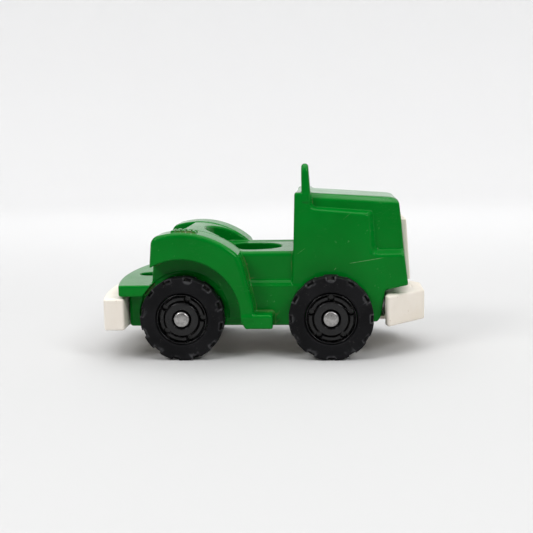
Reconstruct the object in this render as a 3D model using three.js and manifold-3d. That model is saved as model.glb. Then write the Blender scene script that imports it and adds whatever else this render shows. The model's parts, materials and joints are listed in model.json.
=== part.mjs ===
// Toy truck tractor unit: a moulded body on a white base, with bumpers, a grille and two
// free-rolling axles. Millimetres, +Z up, +X towards the nose, Y = 0 on the centre plane.
// The parts are drawn with X = 0 and Y = 0 on the rear axle and Z = 0 on the mouldings' own
// datum. The group then shifts them so that the tyres stand on the floor and the origin is
// under the middle of the whole toy.
import * as THREE from "three";
import { mergeVertices } from "three/addons/utils/BufferGeometryUtils.js";
import { ConvexGeometry } from "three/addons/geometries/ConvexGeometry.js";
import Module from "manifold-3d";

// Overall layout
const WHEEL_RADIUS = 17.45;
const WHEELBASE = 61.75;
const AXLE_Z = 16.65;
const ARCH_Z = 17;
const FRONT_END = 101.7;
const REAR_END = -36.5;
const FIT_GAP = 0.3;
const WALL = 2.2;
const ARC_STEPS = 16;
// How far a cutter or a joined solid runs past the face it meets
const REACH = 1;
const BEYOND = 50;

// Wheels and axles
const AXLE_RADIUS = 3.175;
const AXLE_HALF_LENGTH = 32.9;
const AXLE_CHAMFER = 0.7;
const WHEEL_INNER_Y = 24.1;
const WHEEL_OUTER_Y = 32.3;
const WHEEL_SIDES = 36;
const TYRE_BORE = 10.85;
const TYRE_EDGE = 0.7;
const LUG_COUNT = 12;
const LUG_GAP = { width: 3, depth: 1.3, reach: 2.9 };
const HUB_RADIUS = 10.5;
const HUB_SIDES = 24;
const HUB_BORE = 3.4;
const HUB_BOSS_RADIUS = 7;
const HUB_FACE_INSET = 0.3;
const HUB_CHANNEL_DEPTH = 2.6;
const HUB_WEB = 2.2;
const HUB_RIM = { thick: 1.2, lip: 0.6, foot: 0.9 };
const HUB_BAND = { inner: 7.9, outer: 9.4, depth: 1 };
const HUB_HOLES = { count: 5, radius: 1.25, pitchRadius: 8.65, depth: 3.6 };

// Body, lower part
const SIDE_Y = 23.6;
const BODY_BOTTOM = 12.3;
const NOSE_BOTTOM = 13.55;
const LEDGE = { top: 31.6, bottom: 29.5, insetY: 22 };
const SEAT_TOP = 43.4;
const SEAT_EDGE = 1.6;
const SEAT_HOLE = { x: 28.2, radius: 12, depth: 14, wall: 1.8 };
const SEAT_RECESS = { x: 23.5, radius: 17 };

// Fenders, concentric with the rear axle
const FENDER = { innerY: 17.1, outerY: 32.3, radius: 35.6, edge: 1.2, rearCorner: 0.07 };
const ARCH_RADIUS = 24.6;
const FENDER_REAR = { low: [-13.6, 31], arch: [-12.9, 38.7], top: [-12.1, 47.9] };
const FENDER_FRONT = [[24.1, 42.8], [25.8, 38.5], [27.4, 31.7], [29.5, 23.3], [30.4, 19.4]];
const FOOT = { front: 37.75, top: 18.4, heel: 26.6, archEnd: 15.4 };
const SEAT_BACK_X = -1.5;

// Rear deck
const DECK = { top: 30.94, thick: 4.8, halfWidth: 31.7, centreX: -30, edgeX: -26.1 };
const SKIRT = { rear: -23.4, front: -18.5, halfWidth: 25.6 };
const WHEEL_CLEARANCE = 18.8;
const HITCH = { x: -18.6, radius: 5 };

// Cab and hood
const CAB_REAR = [[45.5, BODY_BOTTOM], [45.6, 30], [46.4, 48.5], [47, 67.1]];
const CAB_TOP = 67.9;
const CAB_FRONT_X = 53.4;
const HOOD_TOP = [[CAB_FRONT_X, 67.4], [86.6, 65.1]];
const NOSE = [[88.6, 64.5], [90.2, 61.9], [90.9, 55.6], [91.7, 45], [92.1, 41.4], [93.7, 29]];
const NOSE_UNDER = [[84.2, 26.9], [82.4, 15.5], [80.4, NOSE_BOTTOM]];
const HOOD_SIDE_Y = 20.6;
const HOOD_FLAT = { rear: 17.8, front: 16 };
const HOOD_SHOULDER = 1.9;
// The cab's two ledges, each as [at the hood's side, beyond the cab's side]
const CAB_LEDGE = { rearZ: [61.9, 60.85], frontZ: [59.9, 57.9], frontX: [79.2, 77.2] };
const NOSE_LEDGE = { rearX: [80.4, 78.6], z: [43.7, 41.2] };
const STACK = {
  rear: 49.9, topFront: 52.8, baseFront: 53.6, width: 8, top: 79.6, edge: 1.1, edgeDrop: 1.5,
};

// The hollow inside the cab and the hood
const CAB_HOLLOW = [
  [49.4, 20], [49.4, 40], [89, 40], [90.8, 31.2], [82, 29.2], [80.2, 16.2], [80.2, 12], [60, 12],
];
const HOOD_HOLLOW = [[49.4, 20], [49.4, 65.2], [85.4, 62.4], [87.8, 60.4], [89, 40]];
const LOWER_HOLLOW_FRONT = 80;
const SEAT_HOLLOW_FRONT = 60;
const CHEEK = { halfLength: 6, thick: 3 };

// White mouldings
const BASE = { bottom: 11.8, thick: 1.6, rear: -20.8, front: 79.6, halfWidth: 21.1, earInset: 0.4 };
const FRONT_BUMPER = {
  bottom: 12.3, top: 25.2, faceHalf: 8, endHalf: 28, endX: 85.2, thick: 5.2, droop: 0.03,
};
const FRONT_BUMPER_BACK = { endDepth: 1.2, endInset: 3.8, faceInset: 3.3 };
const BUMPER_BLOCK = { rear: 84.8, halfWidth: 24, bottom: 13.6, tongueHalfWidth: 9.5 };
const REAR_BUMPER = { bottom: 12, top: 25.3, halfWidth: 32.3, endRear: -32.5, endFront: -24.2, taper: 7 };
const GRILLE = { halfWidth: 12, bottom: 29.6, top: 55.5, frontX: [95.45, 93.65], backX: [93.8, 91.1] };
const GRILLE_GROOVE = { count: 5, depth: 0.7, margin: 3, share: 0.4 };
const GRILLE_PEG = { radius: 1.6, heights: [36, 49], x: [87.5, 93.4], holeX: [86, 96] };

// Fasteners
const SCREWS = [[9, 11], [9, -11], [72, 13], [72, -13]];
const SCREW = {
  shank: 1.35, head: 2.9, headThick: 1.4, headEdge: 0.5, length: 11, tip: 2,
  slot: 0.8, slotHalfLength: 2, slotDepth: 0.7,
};
const SCREW_CUP = { inner: 3.3, outer: 4.6, depth: 1.7, floor: 1.5 };
const BOSS = { radius: 3.6, pilot: 1.65, clearance: 1.75, pilotSpare: 1.5, ceilings: [42.4, 42.4, 64, 64] };

// Tread pad on the right-hand fender
const TREAD = {
  start: -5, end: 9, rows: [22.8, 27.2], bars: 5, height: 0.9, barWidth: 1.6, barLength: 3.2,
};

const wasm = await Module();
wasm.setup();

// A closed three.js geometry as a solid that can be joined and cut.
function solidOf(geometry) {
  const bare = geometry.clone();
  bare.deleteAttribute("normal");
  bare.deleteAttribute("uv");
  const merged = mergeVertices(bare, 1e-4);
  const vertProperties = Float32Array.from(merged.attributes.position.array);
  const triVerts = Uint32Array.from(merged.index.array);
  return new wasm.Manifold(new wasm.Mesh({ numProp: 3, vertProperties, triVerts }));
}

function meshOf(name, solid, material) {
  const { vertProperties, triVerts } = solid.getMesh();
  const geometry = new THREE.BufferGeometry();
  geometry.setAttribute("position", new THREE.BufferAttribute(vertProperties, 3));
  geometry.setIndex(new THREE.BufferAttribute(triVerts, 1));
  const faceted = geometry.toNonIndexed();
  faceted.computeVertexNormals();
  const mesh = new THREE.Mesh(faceted, material);
  mesh.name = name;
  return mesh;
}

function union(solids) {
  return solids.reduce((sum, solid) => sum.add(solid));
}

function box([x0, x1], [y0, y1], [z0, z1]) {
  const geometry = new THREE.BoxGeometry(x1 - x0, y1 - y0, z1 - z0);
  return solidOf(geometry.translate((x0 + x1) / 2, (y0 + y1) / 2, (z0 + z1) / 2));
}

function rodY(radius, [y0, y1], x, z, sides = 24) {
  const geometry = new THREE.CylinderGeometry(radius, radius, y1 - y0, sides);
  return solidOf(geometry.translate(x, (y0 + y1) / 2, z));
}

function rodZ(radius, [z0, z1], x, y, sides = 24) {
  const geometry = new THREE.CylinderGeometry(radius, radius, z1 - z0, sides).rotateX(Math.PI / 2);
  return solidOf(geometry.translate(x, y, (z0 + z1) / 2));
}

function shapeOf(points) {
  return new THREE.Shape(points.map(([a, b]) => new THREE.Vector2(a, b)));
}

// The same outline with its arcs as straight steps and no point repeated.
function stepped(shape) {
  const points = shape.getPoints(ARC_STEPS);
  const kept = points.filter((p, i) => p.distanceTo(points[(i + 1) % points.length]) > 1e-3);
  return new THREE.Shape(kept);
}

// A side outline in X and Z, carried across from y0 to y1.
function slabY(shape, [y0, y1]) {
  const options = { depth: y1 - y0, bevelEnabled: false };
  const geometry = new THREE.ExtrudeGeometry(stepped(shape), options).rotateX(Math.PI / 2);
  return solidOf(geometry.translate(0, y1, 0));
}

// A plan outline in X and Y, carried up from z0 to z1.
function slabZ(shape, [z0, z1]) {
  const options = { depth: z1 - z0, bevelEnabled: false };
  return solidOf(new THREE.ExtrudeGeometry(stepped(shape), options).translate(0, 0, z0));
}

function hull(points) {
  return solidOf(new ConvexGeometry(points.map((p) => new THREE.Vector3(...p))));
}

function rodX(radius, [x0, x1], z, sides = 16) {
  const geometry = new THREE.CylinderGeometry(radius, radius, x1 - x0, sides).rotateZ(Math.PI / 2);
  return solidOf(geometry.translate((x0 + x1) / 2, 0, z));
}

// The same cut or block on both sides of the centre plane.
function bothSides(make) {
  return union([make(1), make(-1)]);
}

function ordered(a, b) {
  return a < b ? [a, b] : [b, a];
}

function lerp(a, b, t) {
  return a + (b - a) * t;
}

// Point on a circle round the wheel arch's centre, at an angle from straight up, towards the nose.
function aboutArch(radius, angle) {
  return [radius * Math.sin(angle), ARCH_Z + radius * Math.cos(angle)];
}

// An arc round the wheel arch's centre, between two such angles.
function archArc(shape, radius, from, to) {
  shape.absarc(0, ARCH_Z, radius, Math.PI / 2 - from, Math.PI / 2 - to, to > from);
}

// ---------------------------------------------------------------- body shell

// Outer line of a fender, from its rear face over the wheel to its leading edge.
function fenderTop(shape) {
  const { radius, rearCorner } = FENDER;
  const rearAngle = Math.asin(FENDER_REAR.top[0] / radius);
  const frontAngle = Math.asin(FENDER_FRONT[0][0] / radius);
  shape.lineTo(...FENDER_REAR.top);
  shape.quadraticCurveTo(...aboutArch(radius, rearAngle), ...aboutArch(radius, rearAngle + rearCorner));
  archArc(shape, radius, rearAngle + rearCorner, frontAngle);
}

// The thick outer band of a fender, with its wheel arch and the foot at its lower end.
function fenderBand(side) {
  const shape = new THREE.Shape();
  const archRear = Math.asin(FENDER_REAR.arch[0] / ARCH_RADIUS);
  const archFoot = Math.PI / 2 + Math.asin((ARCH_Z - FOOT.archEnd) / ARCH_RADIUS);
  shape.moveTo(...aboutArch(ARCH_RADIUS, archRear));
  fenderTop(shape);
  FENDER_FRONT.forEach((point) => shape.lineTo(...point));
  shape.lineTo(FOOT.front - 1, FOOT.top);
  shape.lineTo(FOOT.front, FOOT.top - 1);
  shape.lineTo(FOOT.front, BODY_BOTTOM);
  shape.lineTo(FOOT.heel, BODY_BOTTOM);
  shape.lineTo(...aboutArch(ARCH_RADIUS, archFoot));
  archArc(shape, ARCH_RADIUS, archFoot, archRear);
  const band = slabY(shape, ordered(side * (SIDE_Y - 0.1), side * FENDER.outerY));
  const edgeCut = fenderEdgeCut().rotate([0, 0, side === 1 ? 0 : 180]).translate([0, 0, ARCH_Z]);
  return band.subtract(edgeCut);
}

// The chamfer along the curved outer edge of the +Y fender, about the arch's centre. It stops
// above the foot.
function fenderEdgeCut() {
  const { radius, outerY, edge } = FENDER;
  const ring = turned([
    [radius + REACH, outerY - edge - REACH], [radius + REACH, outerY + REACH],
    [radius - edge - REACH, outerY + REACH],
  ], 72);
  return ring.intersect(box([-BEYOND, BEYOND], [0, BEYOND], [FENDER_FRONT[1][1] - ARCH_Z, BEYOND]));
}

// The part of a fender over the body: no arch, and a flat inner face.
function fenderRoot(side) {
  const shape = new THREE.Shape();
  shape.moveTo(...FENDER_REAR.low);
  fenderTop(shape);
  shape.lineTo(FENDER_FRONT[1][0], FENDER_REAR.low[1]);
  shape.closePath();
  return slabY(shape, ordered(side * FENDER.innerY, side * SIDE_Y));
}

// The block behind the driver, with its top on the fenders' own curve.
function seatBack() {
  const shape = new THREE.Shape();
  const radius = FENDER.radius - 0.2;
  const rearAngle = Math.asin(SEAT_BACK_X / radius);
  const frontAngle = Math.asin(FENDER_FRONT[0][0] / radius);
  shape.moveTo(SEAT_BACK_X, DECK.top - REACH);
  archArc(shape, radius, rearAngle, frontAngle);
  shape.lineTo(FENDER_FRONT[0][0], DECK.top - REACH);
  return slabY(shape, [-FENDER.innerY - REACH / 2, FENDER.innerY + REACH / 2]);
}

// Plan outline with a bowed rear edge, used by the deck and by the rear bumper.
function bowedPlan(centreX, edgeX, halfWidth, frontX) {
  const sagitta = edgeX - centreX;
  const radius = (halfWidth ** 2 + sagitta ** 2) / (2 * sagitta);
  const spread = Math.asin(halfWidth / radius);
  const shape = new THREE.Shape();
  shape.moveTo(frontX, halfWidth);
  shape.lineTo(edgeX, halfWidth);
  shape.absarc(centreX + radius, 0, radius, Math.PI - spread, Math.PI + spread, false);
  shape.lineTo(frontX, -halfWidth);
  return shape;
}

// The four points of a prism's corner pairs at one X: [half-width, height], on both sides.
function rib(x, corners) {
  return corners.flatMap(([halfWidth, z]) => [[x, -halfWidth, z], [x, halfWidth, z]]);
}

// A symmetrical section, carried along X from x0 to x1.
function prismX([x0, x1], corners) {
  return hull([...rib(x0, corners), ...rib(x1, corners)]);
}

function seatSection() {
  const along = [SEAT_BACK_X, CAB_FRONT_X];
  const lower = box([SKIRT.front, CAB_FRONT_X], [-SIDE_Y, SIDE_Y], [BODY_BOTTOM, LEDGE.bottom]);
  const slope = prismX(along, [
    [SIDE_Y, LEDGE.bottom - REACH], [SIDE_Y, LEDGE.bottom], [LEDGE.insetY, LEDGE.top],
  ]);
  const upper = prismX(along, [
    [LEDGE.insetY, LEDGE.top - REACH], [LEDGE.insetY, SEAT_TOP - SEAT_EDGE],
    [LEDGE.insetY - SEAT_EDGE, SEAT_TOP],
  ]);
  return union([lower, slope, upper]);
}

function rearDeck() {
  const levels = [DECK.top - DECK.thick, DECK.top];
  const plan = bowedPlan(DECK.centreX, DECK.edgeX, DECK.halfWidth, FENDER_REAR.low[0] + REACH);
  const plate = slabZ(plan, levels);
  const middle = box([SKIRT.front, SEAT_BACK_X + REACH], [-SIDE_Y, SIDE_Y], levels);
  const skirt = box([SKIRT.rear, SKIRT.front + REACH], [-SKIRT.halfWidth, SKIRT.halfWidth],
    [BODY_BOTTOM, DECK.top - REACH]);
  const wheelRoom = bothSides((side) => {
    const across = ordered(side * SIDE_Y, side * BEYOND);
    return rodY(WHEEL_CLEARANCE, across, 0, AXLE_Z, 48);
  });
  return union([plate, middle, skirt]).subtract(wheelRoom);
}

function cabOutline() {
  const bottom = [[WHEELBASE, NOSE_BOTTOM], [WHEELBASE, BODY_BOTTOM]];
  const top = [[CAB_REAR[3][0] + 0.8, CAB_TOP], [CAB_FRONT_X, CAB_TOP]];
  return shapeOf([...CAB_REAR, ...top, ...HOOD_TOP, ...NOSE, ...NOSE_UNDER, ...bottom]);
}

// What is cut from one side of the cab block to leave the narrower hood with its two ledges.
function hoodSideCut(side) {
  const y = [side * HOOD_SIDE_Y, side * (SIDE_Y + REACH)];
  const { rearZ, frontZ, frontX } = CAB_LEDGE;
  const alongHood = [0, 1].flatMap((i) => [
    [CAB_FRONT_X, y[i], rearZ[i]], [frontX[i], y[i], frontZ[i]],
    [CAB_FRONT_X, y[i], STACK.top], [frontX[i], y[i], STACK.top],
  ]);
  const aheadOfStep = [0, 1].flatMap((i) => [
    [frontX[i], y[i], frontZ[i]], [NOSE_LEDGE.rearX[i], y[i], NOSE_LEDGE.z[i]],
    [FRONT_END, y[i], NOSE_LEDGE.z[i]],
    [frontX[i], y[i], STACK.top], [FRONT_END, y[i], STACK.top],
  ]);
  return union([hull(alongHood), hull(aheadOfStep)]);
}

// The sloping shoulder between the hood's flat top and its side.
function hoodShoulderCut(side) {
  const [[rearX, rearZ], [frontX, frontZ]] = HOOD_TOP;
  return hull([CAB_FRONT_X, FRONT_END].flatMap((x) => {
    const along = (x - rearX) / (frontX - rearX);
    const top = lerp(rearZ, frontZ, along);
    const flat = side * lerp(HOOD_FLAT.rear, HOOD_FLAT.front, along);
    const beyond = side * (SIDE_Y + REACH);
    return [
      [x, flat, top], [x, side * HOOD_SIDE_Y, top - HOOD_SHOULDER],
      [x, beyond, top - 2 * HOOD_SHOULDER], [x, beyond, STACK.top], [x, flat, STACK.top],
    ];
  }));
}

// The exhaust stack: a flat round-topped tab on the right-hand edge of the cab. Its front face
// leans back, and its front and back edges are chamfered at the top.
function stack() {
  const { rear, topFront, baseFront, width, top, edge, edgeDrop } = STACK;
  const radius = width / 2;
  const face = new THREE.Shape();
  face.moveTo(-radius, CAB_TOP - 3 * REACH);
  face.lineTo(radius, CAB_TOP - 3 * REACH);
  face.absarc(0, top - radius, radius, 0, Math.PI, false);
  const options = { depth: baseFront - rear, bevelEnabled: false };
  const slab = new THREE.ExtrudeGeometry(stepped(face), options).rotateX(Math.PI / 2).rotateZ(Math.PI / 2);
  const tab = solidOf(slab.translate(rear, radius - SIDE_Y, 0));
  const across = [-SIDE_Y - REACH, 0];
  const draft = slabY(shapeOf([
    [baseFront, CAB_TOP], [baseFront + REACH, CAB_TOP], [baseFront + REACH, top + REACH],
    [topFront - edge, top + REACH], [topFront - edge, top], [topFront, top - edgeDrop],
  ]), across);
  const back = slabY(shapeOf([
    [rear, top - edgeDrop], [rear + edge, top], [rear + edge, top + REACH],
    [rear - REACH, top + REACH], [rear - REACH, top - edgeDrop],
  ]), across);
  return tab.subtract(draft).subtract(back);
}

// Two rows of raised bars on the right-hand fender, like tread plate.
function treadPad() {
  const bars = [];
  for (const row of TREAD.rows) {
    for (let i = 0; i < TREAD.bars; i += 1) {
      const degrees = lerp(TREAD.start, TREAD.end, i / (TREAD.bars - 1));
      const bar = new THREE.BoxGeometry(TREAD.barWidth, TREAD.barLength, 2 * TREAD.height);
      bar.translate(0, -row, FENDER.radius).rotateY(THREE.MathUtils.degToRad(degrees));
      bars.push(solidOf(bar.translate(0, 0, ARCH_Z)));
    }
  }
  return union(bars);
}

// The hollow under the body, open at the bottom, leaving walls one WALL thick.
function hollow() {
  const inY = SIDE_Y - WALL;
  const seatY = LEDGE.insetY - WALL;
  const hoodY = HOOD_SIDE_Y - WALL;
  const lower = box([SKIRT.rear + WALL, LOWER_HOLLOW_FRONT], [-inY, inY],
    [BODY_BOTTOM - REACH, DECK.top - DECK.thick]);
  const seat = box([SEAT_BACK_X + WALL, SEAT_HOLLOW_FRONT], [-seatY, seatY],
    [BODY_BOTTOM, SEAT_TOP - WALL]);
  const cab = slabY(shapeOf(CAB_HOLLOW), [-inY, inY]);
  const hood = slabY(shapeOf(HOOD_HOLLOW), [-hoodY, hoodY]);
  return union([lower, seat, cab, hood]);
}

// Bearing cheeks inside the side walls, where an axle drops into its slot from below.
function bearingCheeks() {
  const levels = [BASE.bottom + BASE.thick + FIT_GAP, DECK.top - DECK.thick + REACH];
  const cheeks = [0, WHEELBASE].flatMap((x) => [1, -1].map((side) => {
    const across = ordered(side * (SIDE_Y - WALL - CHEEK.thick), side * (SIDE_Y - WALL + REACH / 2));
    return box([x - CHEEK.halfLength, x + CHEEK.halfLength], across, levels);
  }));
  return union(cheeks);
}

function axleSlot(x) {
  const radius = AXLE_RADIUS + FIT_GAP;
  const across = [-SIDE_Y - REACH, SIDE_Y + REACH];
  const round = rodY(radius, across, x, AXLE_Z);
  return round.add(box([x - radius, x + radius], across, [BODY_BOTTOM - REACH, AXLE_Z]));
}

// One upright round solid at every screw, between the given heights.
function atScrews(radius, levelsOf, sides) {
  return union(SCREWS.map(([x, y], i) => rodZ(radius, levelsOf(i), x, y, sides)));
}

function screwBosses() {
  const bottom = BASE.bottom + SCREW_CUP.depth + SCREW_CUP.floor + FIT_GAP;
  return atScrews(BOSS.radius, (i) => [bottom, BOSS.ceilings[i]], 16);
}

function pilotHoles() {
  const top = BASE.bottom + SCREW_CUP.depth + SCREW.length + BOSS.pilotSpare;
  return atScrews(BOSS.pilot, () => [BASE.bottom, top], 12);
}

// The driver's place: a round recess open towards the cab.
function seatRecess() {
  const { x, radius } = SEAT_RECESS;
  const levels = [SEAT_TOP, CAB_TOP - REACH];
  return rodZ(radius, levels, x, 0, 48).add(box([x, CAB_REAR[2][0]], [-radius, radius], levels));
}

function bodyShell() {
  const cab = slabY(cabOutline(), [-SIDE_Y, SIDE_Y])
    .subtract(bothSides(hoodSideCut))
    .subtract(bothSides(hoodShoulderCut));
  const outside = union([
    cab, seatSection(), seatBack(), bothSides(fenderRoot), bothSides(fenderBand),
    rearDeck(), stack(), treadPad(),
  ]);
  const { x, radius, depth, wall } = SEAT_HOLE;
  const cup = rodZ(radius + wall, [SEAT_TOP - depth - wall, SEAT_TOP - REACH / 2], x, 0, 40);
  const inside = union([cup, bearingCheeks(), screwBosses()]);
  const pegHoles = union(GRILLE_PEG.heights.map((z) => {
    return rodX(GRILLE_PEG.radius + FIT_GAP, GRILLE_PEG.holeX, z);
  }));
  const openings = union([
    rodZ(radius, [SEAT_TOP - depth, SEAT_TOP + REACH], x, 0, 40),
    rodZ(HITCH.radius, [BODY_BOTTOM, DECK.top + REACH], HITCH.x, 0),
    axleSlot(0), axleSlot(WHEELBASE), pilotHoles(), pegHoles,
  ]);
  return outside.subtract(seatRecess()).subtract(hollow()).add(inside).subtract(openings);
}

// ---------------------------------------------------------------- white mouldings

// The base plate, with ears that close the axle slots and cups for the screw heads.
function basePlate() {
  const levels = [BASE.bottom, BASE.bottom + BASE.thick];
  const cupFloor = BASE.bottom + SCREW_CUP.depth;
  const cupTop = cupFloor + SCREW_CUP.floor;
  const plate = box([BASE.rear, BASE.front], [-BASE.halfWidth, BASE.halfWidth], levels);
  const earY = SIDE_Y - BASE.earInset;
  const ears = [0, WHEELBASE].map((x) => box([x - AXLE_RADIUS, x + AXLE_RADIUS], [-earY, earY], levels));
  const cups = atScrews(SCREW_CUP.outer, () => [BASE.bottom, cupTop], 16);
  const recesses = atScrews(SCREW_CUP.inner, () => [BASE.bottom - REACH, cupFloor], 16);
  const holes = atScrews(BOSS.clearance, () => [BASE.bottom, cupTop + REACH], 16);
  return union([plate, ...ears, cups]).subtract(recesses).subtract(holes);
}

// A solid sheared so that it falls away ahead of a given X.
function drooping(solid, fromX, droop) {
  return solid.transform([1, 0, -droop, 0, 0, 1, 0, 0, 0, 0, 1, 0, 0, 0, droop * fromX, 1]);
}

// The front bumper: a swept bar, the block between it and the body, and a tongue that reaches
// back under the nose to the base.
function frontBumper() {
  const { bottom, top, faceHalf, endHalf, endX, thick, droop } = FRONT_BUMPER;
  const { endDepth, endInset, faceInset } = FRONT_BUMPER_BACK;
  const { rear, halfWidth, tongueHalfWidth } = BUMPER_BLOCK;
  const back = FRONT_END - thick;
  const plan = shapeOf([
    [FRONT_END, faceHalf], [endX, endHalf],
    [endX - endDepth, endHalf - endInset], [back, faceHalf - faceInset],
    [back, faceInset - faceHalf], [endX - endDepth, endInset - endHalf],
    [endX, -endHalf], [FRONT_END, -faceHalf],
  ]);
  const bar = slabZ(plan, [bottom, top]);
  const fill = shapeOf([
    [back + REACH, faceHalf - faceInset], [rear, halfWidth],
    [rear, -halfWidth], [back + REACH, faceInset - faceHalf],
  ]);
  const block = slabZ(fill, [BUMPER_BLOCK.bottom, top]);
  const swept = drooping(bar.add(block), endX, droop);
  const across = [-tongueHalfWidth, tongueHalfWidth];
  const root = box([rear, back + REACH], across, [BASE.bottom, top - REACH]);
  const tongue = box([BASE.front + FIT_GAP, back], across, [BASE.bottom, NOSE_BOTTOM - FIT_GAP]);
  return union([swept, root, tongue]);
}

function rearBumper() {
  const { bottom, top, halfWidth, endRear, endFront, taper } = REAR_BUMPER;
  const outer = slabZ(bowedPlan(REAR_END, endRear, halfWidth, endFront), [bottom, top]);
  const frontX = SKIRT.rear + 4 * REACH;
  const taperCut = bothSides((side) => slabZ(shapeOf([
    [endFront, side * halfWidth], [frontX, side * (halfWidth - taper)],
    [frontX, side * (halfWidth + REACH)],
  ]), [bottom - REACH, top + REACH]));
  return outer.subtract(taperCut);
}

// The grille leans back with the nose. Its grooves run up and down.
function grille() {
  const { halfWidth, bottom, top, frontX, backX } = GRILLE;
  const { count, depth, margin, share } = GRILLE_GROOVE;
  const outline = shapeOf([[backX[0], bottom], [frontX[0], bottom], [frontX[1], top], [backX[1], top]]);
  const plate = slabY(outline, [-halfWidth, halfWidth]);
  const grooveSide = shapeOf([
    [frontX[0] - depth, bottom + margin], [frontX[0] + REACH, bottom + margin],
    [frontX[1] + REACH, top - margin], [frontX[1] - depth, top - margin],
  ]);
  const pitch = (2 * halfWidth) / (count + 1);
  const grooves = [];
  for (let i = 1; i <= count; i += 1) {
    const y = i * pitch - halfWidth;
    grooves.push(slabY(grooveSide, [y - (share * pitch) / 2, y + (share * pitch) / 2]));
  }
  const pegs = union(GRILLE_PEG.heights.map((z) => rodX(GRILLE_PEG.radius, GRILLE_PEG.x, z)));
  return plate.subtract(union(grooves)).add(pegs);
}

// ---------------------------------------------------------------- running gear

// A solid of revolution round the Y axis, from [radius, y] points on a closed outline.
function turned(profile, sides, turn = 0) {
  const points = profile.map(([radius, y]) => new THREE.Vector2(radius, y));
  return solidOf(new THREE.LatheGeometry([...points, points[0]], sides).rotateY(turn));
}

function axle() {
  const end = AXLE_HALF_LENGTH;
  return turned([
    [0, -end], [AXLE_RADIUS - AXLE_CHAMFER, -end], [AXLE_RADIUS, AXLE_CHAMFER - end],
    [AXLE_RADIUS, end - AXLE_CHAMFER], [AXLE_RADIUS - AXLE_CHAMFER, end], [0, end],
  ], 24);
}

// A tyre on the +Y side. A flat of its tread faces straight down, and the notches between its
// lugs alternate between its outer and inner edges.
function tyre() {
  const flat = WHEEL_RADIUS / Math.cos(Math.PI / WHEEL_SIDES);
  const ring = turned([
    [TYRE_BORE, WHEEL_INNER_Y], [flat - TYRE_EDGE, WHEEL_INNER_Y], [flat, WHEEL_INNER_Y + TYRE_EDGE],
    [flat, WHEEL_OUTER_Y - TYRE_EDGE], [flat - TYRE_EDGE, WHEEL_OUTER_Y], [TYRE_BORE, WHEEL_OUTER_Y],
  ], WHEEL_SIDES, Math.PI / WHEEL_SIDES);
  const notches = [];
  for (let i = 0; i < 2 * LUG_COUNT; i += 1) {
    const edgeY = i % 2 === 0 ? WHEEL_OUTER_Y : WHEEL_INNER_Y;
    const notch = new THREE.BoxGeometry(LUG_GAP.width, 2 * LUG_GAP.reach, 2 * LUG_GAP.depth);
    notch.translate(0, edgeY, WHEEL_RADIUS).rotateY((i * Math.PI) / LUG_COUNT);
    notches.push(solidOf(notch));
  }
  return ring.subtract(union(notches));
}

// A hub on the +Y side: a boss round the axle, a channel with a raised band in it, and a rim.
function hub() {
  const face = WHEEL_OUTER_Y - HUB_FACE_INSET;
  const floor = face - HUB_CHANNEL_DEPTH;
  const web = floor - HUB_WEB;
  const disc = turned([
    [HUB_BORE, WHEEL_INNER_Y], [HUB_BOSS_RADIUS, WHEEL_INNER_Y], [HUB_BOSS_RADIUS, web],
    [HUB_RADIUS - HUB_RIM.thick, web], [HUB_RADIUS - HUB_RIM.thick, WHEEL_INNER_Y],
    [HUB_RADIUS, WHEEL_INNER_Y], [HUB_RADIUS, face], [HUB_RADIUS - HUB_RIM.lip, face],
    [HUB_RADIUS - HUB_RIM.foot, floor], [HUB_BAND.outer, floor], [HUB_BAND.outer, face - HUB_BAND.depth],
    [HUB_BAND.inner, face - HUB_BAND.depth], [HUB_BAND.inner, floor],
    [HUB_BOSS_RADIUS, floor], [HUB_BOSS_RADIUS, face], [HUB_BORE, face],
  ], HUB_SIDES);
  const holes = [];
  for (let i = 0; i < HUB_HOLES.count; i += 1) {
    const angle = (2 * Math.PI * i) / HUB_HOLES.count;
    const x = HUB_HOLES.pitchRadius * Math.sin(angle);
    const z = HUB_HOLES.pitchRadius * Math.cos(angle);
    holes.push(rodY(HUB_HOLES.radius, [face - HUB_HOLES.depth, face + REACH], x, z, 10));
  }
  return disc.subtract(union(holes));
}

// A screw pointing up, with the seat of its head at Z = 0 and a cross in its head.
function screw() {
  const { shank, head, headThick, headEdge, length, tip, slot, slotHalfLength, slotDepth } = SCREW;
  const body = turned([
    [0, -headThick], [head - headEdge, -headThick], [head, -headThick / 2],
    [head, 0], [shank, 0], [shank, length - tip], [0, length],
  ], 12).rotate([90, 0, 0]);
  const depth = [-headThick - REACH, slotDepth - headThick];
  const narrow = [-slot / 2, slot / 2];
  const long = [-slotHalfLength, slotHalfLength];
  return body.subtract(box(long, narrow, depth).add(box(narrow, long, depth)));
}

// ---------------------------------------------------------------- assembly

const green = new THREE.MeshStandardMaterial({ color: 0x006e1c, roughness: 0.35, metalness: 0 });
const white = new THREE.MeshStandardMaterial({ color: 0xe9e3d8, roughness: 0.45, metalness: 0 });
const tyreBlack = new THREE.MeshStandardMaterial({ color: 0x1a1a1c, roughness: 0.75, metalness: 0 });
const hubBlack = new THREE.MeshStandardMaterial({ color: 0x101012, roughness: 0.35, metalness: 0 });
const steel = new THREE.MeshStandardMaterial({ color: 0xb9b9bd, roughness: 0.4, metalness: 1 });

const truck = new THREE.Group();
truck.position.set(-(REAR_END + FRONT_END) / 2, 0, WHEEL_RADIUS - AXLE_Z);
truck.add(meshOf("body_shell", bodyShell(), green));
truck.add(meshOf("base_plate", basePlate(), white));
truck.add(meshOf("front_bumper", frontBumper(), white));
truck.add(meshOf("rear_bumper", rearBumper(), white));
truck.add(meshOf("grille", grille(), white));

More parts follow.
